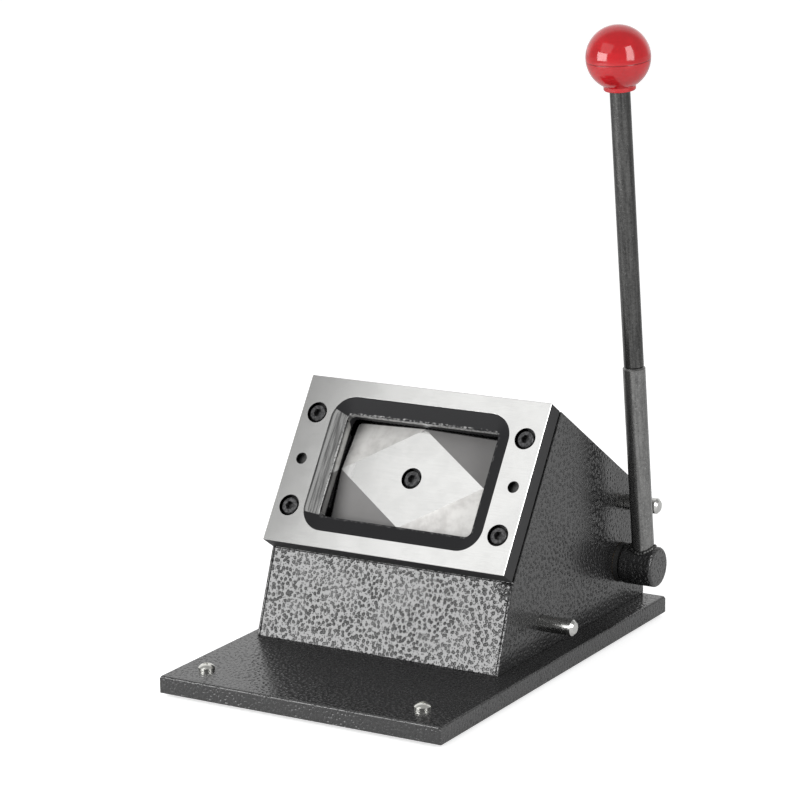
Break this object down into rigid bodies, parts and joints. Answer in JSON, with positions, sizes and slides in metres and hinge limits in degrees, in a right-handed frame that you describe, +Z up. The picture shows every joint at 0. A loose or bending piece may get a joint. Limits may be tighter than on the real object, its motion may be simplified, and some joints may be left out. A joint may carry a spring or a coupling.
{
  "type": "card cutter",
  "caption": "Hand-lever punch that cuts plastic ID cards: sloping die plate with a card window on a wedge body, eccentric-driven punch, side lever with a ball knob, base plate on rubber feet.",
  "frame": {"origin": "middle of the machine's overall box, on the surface that the rubber feet stand on", "axes": "+Z up; +X to the lever's side, seen by the user as the right; +Y from the user to the rear of the machine; the die plate and the front of the base face -Y"},
  "size_m": [0.1714, 0.23, 0.3096],
  "materials": {
    "hammered_paint": "dark grey hammered enamel",
    "hub_paint": "dark grey hammered enamel over a turned collar",
    "ground_steel": "surface ground tool steel",
    "punch_steel": "surface ground tool steel",
    "machined_steel": "milled",
    "bright_steel": "turned and polished",
    "zinc_plate": "bright zinc",
    "black_oxide": "black oxide, oiled",
    "browned_steel": "blackened bar",
    "bare_bar": "bare drawn bar",
    "spring_steel": "oiled spring wire",
    "bronze": "sintered bronze",
    "insert_brass": "turned brass",
    "black_rubber": "moulded",
    "washer_plastic": "black fibre-filled plastic",
    "red_plastic": "polished phenolic"
  },
  "bodies": {
    "frame": {"base_plate": "hammered_paint", "rubber_feet": "black_rubber", "foot_inserts": "insert_brass", "foot_screws": "zinc_plate", "left_side_plate": "hammered_paint", "right_side_plate": "hammered_paint", "head_plate": "hammered_paint", "front_panel": "hammered_paint", "roof_panel": "hammered_paint", "rear_panel": "hammered_paint", "rear_panel_screws": "black_oxide", "front_mounting_bar": "machined_steel", "left_mounting_block": "machined_steel", "right_mounting_block": "machined_steel", "base_bolts": "black_oxide", "die_plate": "ground_steel", "slot_spacers": "machined_steel", "die_screws": "black_oxide", "dowel_pins": "machined_steel", "left_guide_post": "bright_steel", "right_guide_post": "bright_steel", "left_return_spring": "spring_steel", "right_return_spring": "spring_steel", "left_shaft_bush": "bronze", "right_shaft_bush": "bronze", "thrust_washer": "washer_plastic", "front_stop_pin": "bright_steel", "rear_stop_pin": "bright_steel"},
    "lever": {"drive_shaft": "bright_steel", "eccentric": "machined_steel", "eccentric_key": "machined_steel", "eccentric_set_screw": "black_oxide", "end_washer": "zinc_plate", "retaining_ring": "black_oxide", "lever_hub": "hub_paint", "hub_pin": "machined_steel", "lever_stub": "bare_bar", "lever_rod": "browned_steel", "ball_knob": "red_plastic", "knob_insert": "insert_brass"},
    "ram_unit": {"punch": "punch_steel", "punch_screw": "black_oxide", "punch_dowels": "machined_steel", "ram": "machined_steel", "left_post_bush": "bronze", "right_post_bush": "bronze", "thrust_pad": "machined_steel", "thrust_pad_screws": "black_oxide"}
  },
  "joints": [
    {"name": "lever_swing", "type": "hinge", "parent": "frame", "child": "lever", "pos_m": [0.07, 0.0888, 0.0338], "axis": [1, 0, 0], "range_deg": [0, 82.6]},
    {"name": "ram_slide", "type": "slide", "parent": "frame", "child": "ram_unit", "axis": [0, -0.831, 0.5563], "range_m": [0, 0.007], "stiffness_N_per_m": 6000, "springref_m": -0.01}
  ],
  "couplings": [
    {"joint": "ram_slide", "follows": "lever_swing", "m_per_rad": 0.004855}
  ]
}
